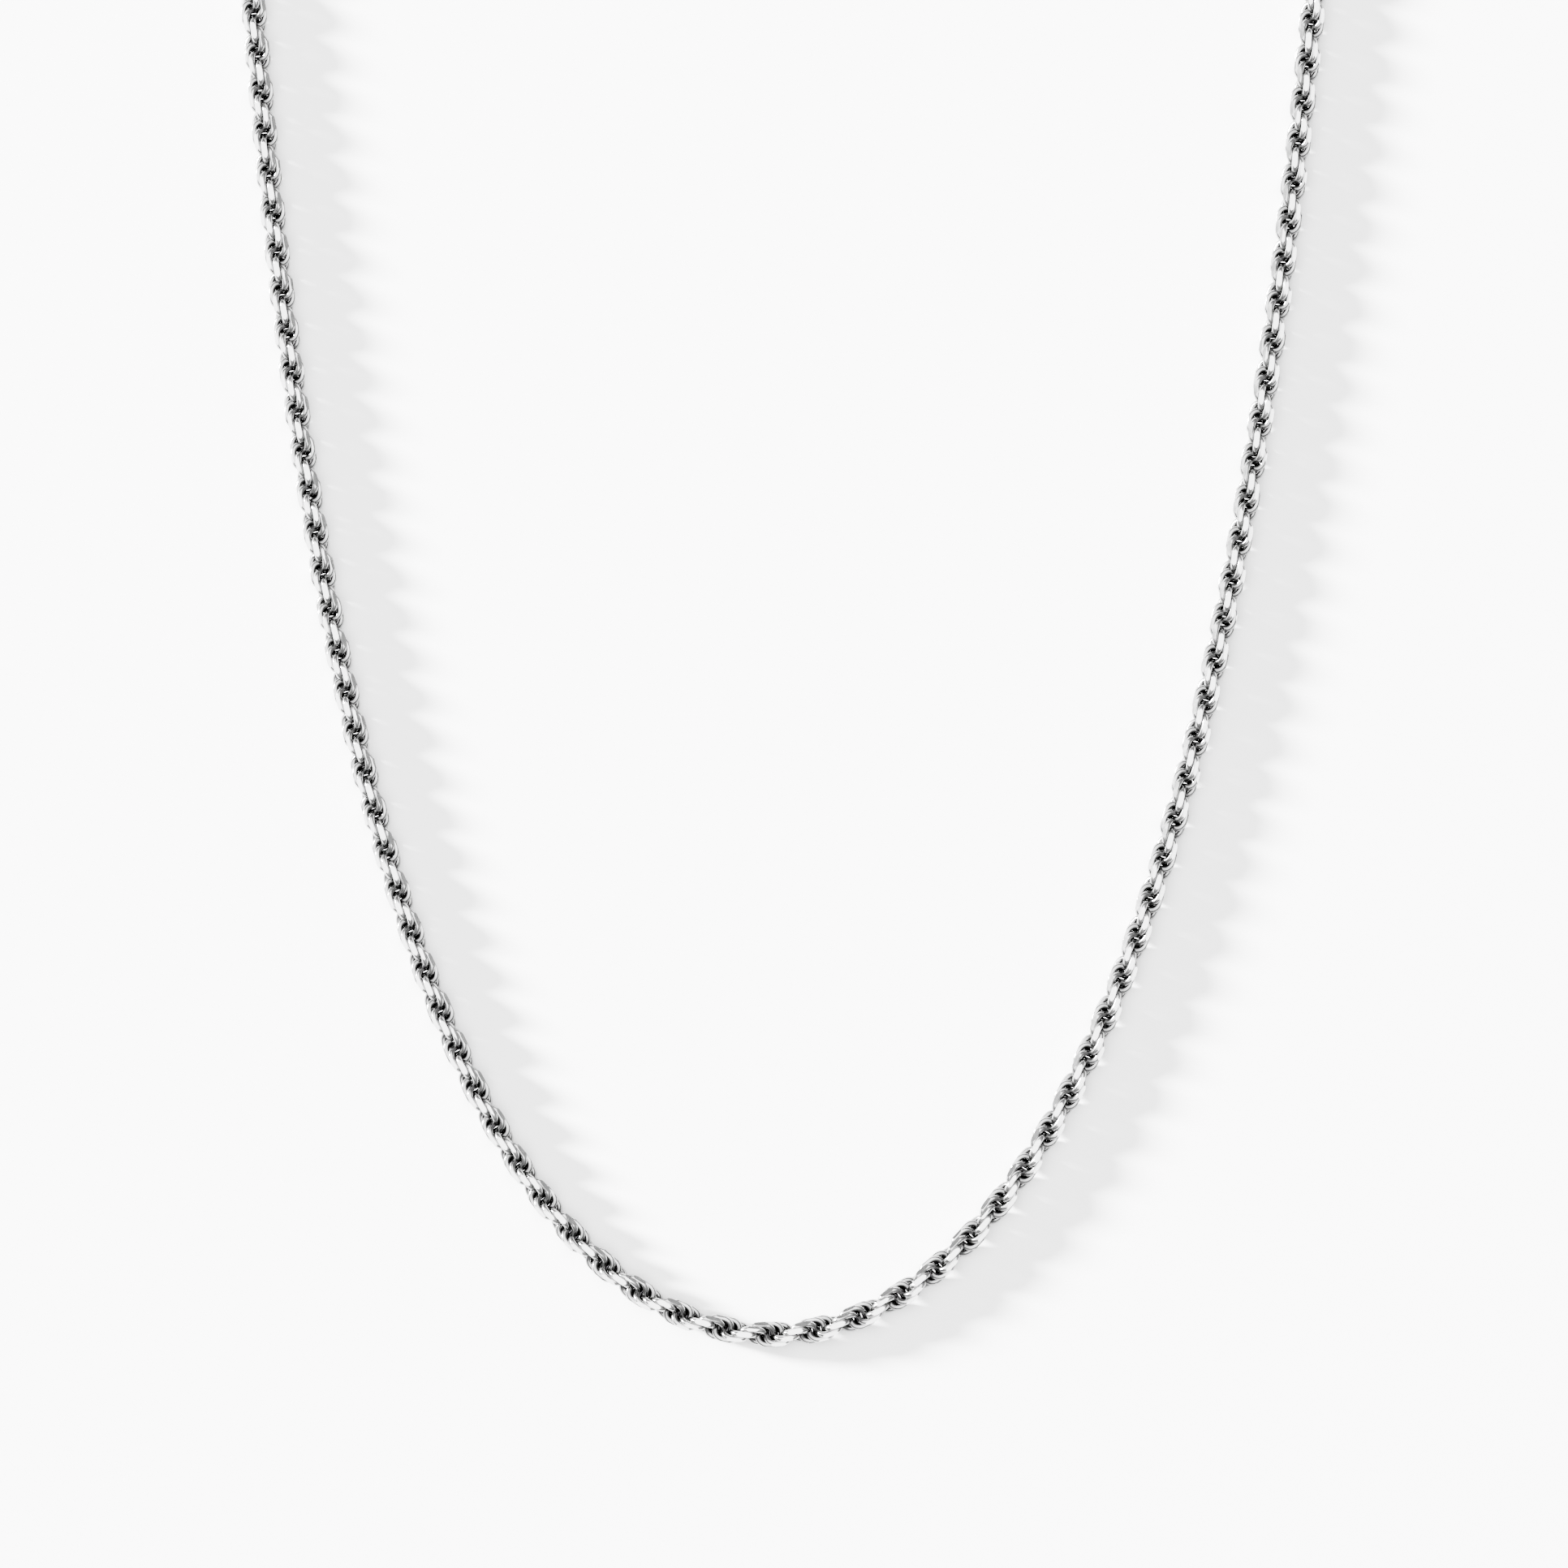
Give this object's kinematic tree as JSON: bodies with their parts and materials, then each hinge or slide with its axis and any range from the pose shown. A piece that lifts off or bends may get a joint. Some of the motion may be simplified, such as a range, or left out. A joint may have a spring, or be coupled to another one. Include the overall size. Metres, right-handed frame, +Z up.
{
  "type": "chain necklace",
  "caption": "Diamond-cut rope chain necklace of small round threaded links, unclasped in a U, with end caps, jump rings, closing tag and lobster claw clasp.",
  "frame": {"origin": "middle of the necklace's footprint, on the surface it lies on", "axes": "+Z up from the surface; +Y from the bottom of the U towards the two open ends; +X towards the end with the clasp"},
  "size_m": [0.1193, 0.2432, 0.0038],
  "materials": {
    "silver": "polished, diamond-cut"
  },
  "bodies": {
    "centre": {"links_centre": "silver"},
    "left_01": {"bend_left_01": "silver", "links_left_01": "silver"},
    "left_02": {"bend_left_02": "silver", "links_left_02": "silver"},
    "left_03": {"bend_left_03": "silver", "links_left_03": "silver"},
    "left_04": {"bend_left_04": "silver", "links_left_04": "silver"},
    "left_05": {"bend_left_05": "silver", "links_left_05": "silver"},
    "left_06": {"bend_left_06": "silver", "links_left_06": "silver"},
    "left_07": {"bend_left_07": "silver", "links_left_07": "silver"},
    "left_08": {"bend_left_08": "silver", "links_left_08": "silver"},
    "left_09": {"bend_left_09": "silver", "links_left_09": "silver"},
    "left_10": {"bend_left_10": "silver", "links_left_10": "silver"},
    "left_11": {"bend_left_11": "silver", "links_left_11": "silver", "end_cap_left": "silver"},
    "right_01": {"bend_right_01": "silver", "links_right_01": "silver"},
    "right_02": {"bend_right_02": "silver", "links_right_02": "silver"},
    "right_03": {"bend_right_03": "silver", "links_right_03": "silver"},
    "right_04": {"bend_right_04": "silver", "links_right_04": "silver"},
    "right_05": {"bend_right_05": "silver", "links_right_05": "silver"},
    "right_06": {"bend_right_06": "silver", "links_right_06": "silver"},
    "right_07": {"bend_right_07": "silver", "links_right_07": "silver"},
    "right_08": {"bend_right_08": "silver", "links_right_08": "silver"},
    "right_09": {"bend_right_09": "silver", "links_right_09": "silver"},
    "right_10": {"bend_right_10": "silver", "links_right_10": "silver"},
    "right_11": {"bend_right_11": "silver", "links_right_11": "silver", "end_cap_right": "silver"},
    "ring_left": {"jump_ring_left": "silver"},
    "ring_right": {"jump_ring_right": "silver"},
    "tag": {"closing_tag": "silver"},
    "clasp": {"clasp_body": "silver", "clasp_pin": "silver", "clasp_spring": "silver"},
    "lever": {"clasp_lever": "silver"}
  },
  "joints": [
    {"name": "left_01_swing", "type": "hinge", "parent": "centre", "child": "left_01", "pos_m": [-0.01029, -0.11777, 0.0012], "axis": [0, 0, 1], "range_deg": [-25, 25], "deforming": ["bend_left_01"]},
    {"name": "left_02_lift", "type": "hinge", "parent": "left_01", "child": "left_02", "pos_m": [-0.02526, -0.1028, 0.0012], "axis": [1, 0, 0], "range_deg": [0, 40], "deforming": ["bend_left_02"]},
    {"name": "left_03_swing", "type": "hinge", "parent": "left_02", "child": "left_03", "pos_m": [-0.03438, -0.08346, 0.0012], "axis": [0, 0, -1], "range_deg": [-30, 30], "deforming": ["bend_left_03"]},
    {"name": "left_04_lift", "type": "hinge", "parent": "left_03", "child": "left_04", "pos_m": [-0.04044, -0.06293, 0.0012], "axis": [1, 0, 0], "range_deg": [0, 40], "deforming": ["bend_left_04"]},
    {"name": "left_05_swing", "type": "hinge", "parent": "left_04", "child": "left_05", "pos_m": [-0.04475, -0.04194, 0.0012], "axis": [0, 0, 1], "range_deg": [-35, 35], "deforming": ["bend_left_05"]},
    {"name": "left_06_lift", "type": "hinge", "parent": "left_05", "child": "left_06", "pos_m": [-0.04793, -0.02076, 0.0012], "axis": [1, 0, 0], "range_deg": [0, 40], "deforming": ["bend_left_06"]},
    {"name": "left_07_swing", "type": "hinge", "parent": "left_06", "child": "left_07", "pos_m": [-0.05035, 0.00053, 0.0012], "axis": [0, 0, -1], "range_deg": [-40, 40], "deforming": ["bend_left_07"]},
    {"name": "left_08_lift", "type": "hinge", "parent": "left_07", "child": "left_08", "pos_m": [-0.05222, 0.02187, 0.0012], "axis": [1, 0, 0], "range_deg": [0, 40], "deforming": ["bend_left_08"]},
    {"name": "left_09_swing", "type": "hinge", "parent": "left_08", "child": "left_09", "pos_m": [-0.05369, 0.04324, 0.0012], "axis": [0, 0, 1], "range_deg": [-40, 40], "deforming": ["bend_left_09"]},
    {"name": "left_10_lift", "type": "hinge", "parent": "left_09", "child": "left_10", "pos_m": [-0.05487, 0.06463, 0.0012], "axis": [1, 0, 0], "range_deg": [0, 40], "deforming": ["bend_left_10"]},
    {"name": "left_11_swing", "type": "hinge", "parent": "left_10", "child": "left_11", "pos_m": [-0.05582, 0.08604, 0.0012], "axis": [0, 0, -1], "range_deg": [-40, 40], "deforming": ["bend_left_11"]},
    {"name": "right_01_swing", "type": "hinge", "parent": "centre", "child": "right_01", "pos_m": [0.01029, -0.11777, 0.0012], "axis": [0, 0, 1], "range_deg": [-25, 25], "deforming": ["bend_right_01"]},
    {"name": "right_02_lift", "type": "hinge", "parent": "right_01", "child": "right_02", "pos_m": [0.02526, -0.1028, 0.0012], "axis": [1, 0, 0], "range_deg": [0, 40], "deforming": ["bend_right_02"]},
    {"name": "right_03_swing", "type": "hinge", "parent": "right_02", "child": "right_03", "pos_m": [0.03438, -0.08346, 0.0012], "axis": [0, 0, -1], "range_deg": [-30, 30], "deforming": ["bend_right_03"]},
    {"name": "right_04_lift", "type": "hinge", "parent": "right_03", "child": "right_04", "pos_m": [0.04044, -0.06293, 0.0012], "axis": [1, 0, 0], "range_deg": [0, 40], "deforming": ["bend_right_04"]},
    {"name": "right_05_swing", "type": "hinge", "parent": "right_04", "child": "right_05", "pos_m": [0.04475, -0.04194, 0.0012], "axis": [0, 0, 1], "range_deg": [-35, 35], "deforming": ["bend_right_05"]},
    {"name": "right_06_lift", "type": "hinge", "parent": "right_05", "child": "right_06", "pos_m": [0.04793, -0.02076, 0.0012], "axis": [1, 0, 0], "range_deg": [0, 40], "deforming": ["bend_right_06"]},
    {"name": "right_07_swing", "type": "hinge", "parent": "right_06", "child": "right_07", "pos_m": [0.05035, 0.00053, 0.0012], "axis": [0, 0, -1], "range_deg": [-40, 40], "deforming": ["bend_right_07"]},
    {"name": "right_08_lift", "type": "hinge", "parent": "right_07", "child": "right_08", "pos_m": [0.05222, 0.02187, 0.0012], "axis": [1, 0, 0], "range_deg": [0, 40], "deforming": ["bend_right_08"]},
    {"name": "right_09_swing", "type": "hinge", "parent": "right_08", "child": "right_09", "pos_m": [0.05369, 0.04324, 0.0012], "axis": [0, 0, 1], "range_deg": [-40, 40], "deforming": ["bend_right_09"]},
    {"name": "right_10_lift", "type": "hinge", "parent": "right_09", "child": "right_10", "pos_m": [0.05487, 0.06463, 0.0012], "axis": [1, 0, 0], "range_deg": [0, 40], "deforming": ["bend_right_10"]},
    {"name": "right_11_swing", "type": "hinge", "parent": "right_10", "child": "right_11", "pos_m": [0.05582, 0.08604, 0.0012], "axis": [0, 0, -1], "range_deg": [-40, 40], "deforming": ["bend_right_11"]},
    {"name": "ring_left_swivel", "type": "hinge", "parent": "left_11", "child": "ring_left", "pos_m": [-0.05641, 0.1076, 0.0012], "axis": [0, 0, 1], "range_deg": [-45, 45]},
    {"name": "tag_swivel", "type": "hinge", "parent": "ring_left", "child": "tag", "pos_m": [-0.05641, 0.11047, 0.0012], "axis": [0, 0, 1], "range_deg": [-45, 45]},
    {"name": "ring_right_swivel", "type": "hinge", "parent": "right_11", "child": "ring_right", "pos_m": [0.05641, 0.1076, 0.0012], "axis": [0, 0, 1], "range_deg": [-45, 45]},
    {"name": "clasp_swivel", "type": "hinge", "parent": "ring_right", "child": "clasp", "pos_m": [0.05641, 0.11047, 0.0012], "axis": [0, 0, 1], "range_deg": [-45, 45]},
    {"name": "clasp_lever_hinge", "type": "hinge", "parent": "clasp", "child": "lever", "pos_m": [0.05816, 0.11507, 0.0012], "axis": [0, 0, 1], "range_deg": [0, 22], "stiffness_Nm_per_rad": 0.002, "springref_deg": -5.73, "deforming": ["clasp_spring"]}
  ]
}
